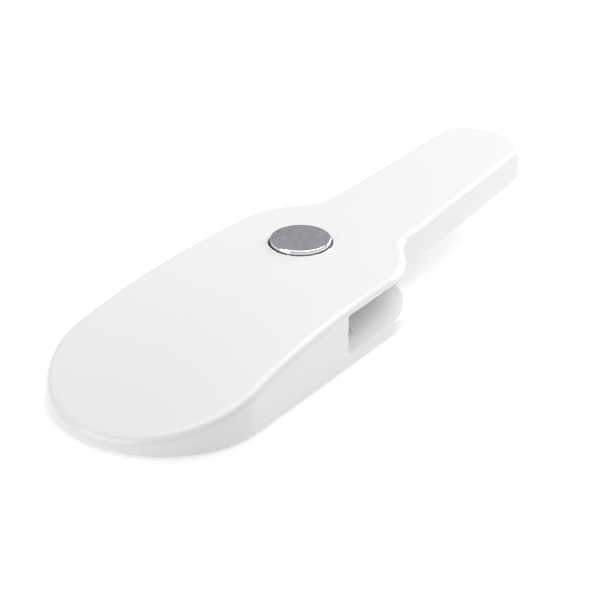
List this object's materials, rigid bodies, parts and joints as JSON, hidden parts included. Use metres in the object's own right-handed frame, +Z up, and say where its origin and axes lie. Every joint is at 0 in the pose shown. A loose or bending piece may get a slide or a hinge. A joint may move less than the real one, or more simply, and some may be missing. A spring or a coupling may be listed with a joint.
{
  "type": "apex locator",
  "caption": "Cordless hand-held apex locator: white paddle body, chrome push button, straight handle, and a rear slot over a lower jaw.",
  "frame": {"origin": "centre of the bounding box's bottom face, on the surface the part rests on", "axes": "+X from the nose to the handle end, +Z up out of the button's face"},
  "size_m": [0.181, 0.0598, 0.0204],
  "materials": {
    "white_plastic": "gloss",
    "chrome_plate": "polished",
    "inner_plastic": "matte",
    "dark_plastic": "matte",
    "steel": "satin",
    "brass_plate": "satin",
    "board": "satin",
    "cell_wrap": "satin",
    "red_wire": "matte",
    "grey_wire": "matte"
  },
  "bodies": {
    "housing": {"main_housing": "white_plastic", "base_cover": "white_plastic", "arm_cover": "white_plastic", "base_screw_1": "steel", "base_screw_2": "steel", "base_screw_3": "steel", "base_screw_4": "steel", "arm_screw_1": "steel", "arm_screw_2": "steel", "button_guide": "inner_plastic", "return_spring": "steel", "switch_body": "dark_plastic", "battery_carrier": "inner_plastic", "battery_cell_front": "cell_wrap", "battery_cell_rear": "cell_wrap", "contact_bridge": "steel", "contact_negative": "steel", "contact_positive": "steel", "contact_spring_front": "steel", "contact_spring_rear": "steel", "circuit_board": "board", "wire_header": "dark_plastic", "microcontroller": "dark_plastic", "measuring_chip": "dark_plastic", "crystal": "steel", "capacitor_1": "dark_plastic", "capacitor_2": "dark_plastic", "capacitor_3": "dark_plastic", "buzzer": "dark_plastic", "terminal_pin_right": "brass_plate", "terminal_pin_left": "brass_plate", "battery_wire_negative": "grey_wire", "battery_wire_positive": "red_wire", "terminal_wire_right": "grey_wire", "terminal_wire_left": "grey_wire", "buzzer_wire": "grey_wire"},
    "button": {"button_cap": "chrome_plate", "button_stem": "dark_plastic", "switch_plunger": "dark_plastic"},
    "battery_door": {"battery_door": "white_plastic"}
  },
  "joints": [
    {"name": "button_press", "type": "slide", "parent": "housing", "child": "button", "axis": [0, 0, -1], "range_m": [0, 0.001], "stiffness_N_per_m": 600, "springref_m": -0.002, "deforming": ["return_spring"]},
    {"name": "battery_door_hinge", "type": "hinge", "parent": "housing", "child": "battery_door", "pos_m": [-0.0479, 0, 0.0013], "axis": [0, 1, 0], "range_deg": [0, 95]}
  ]
}
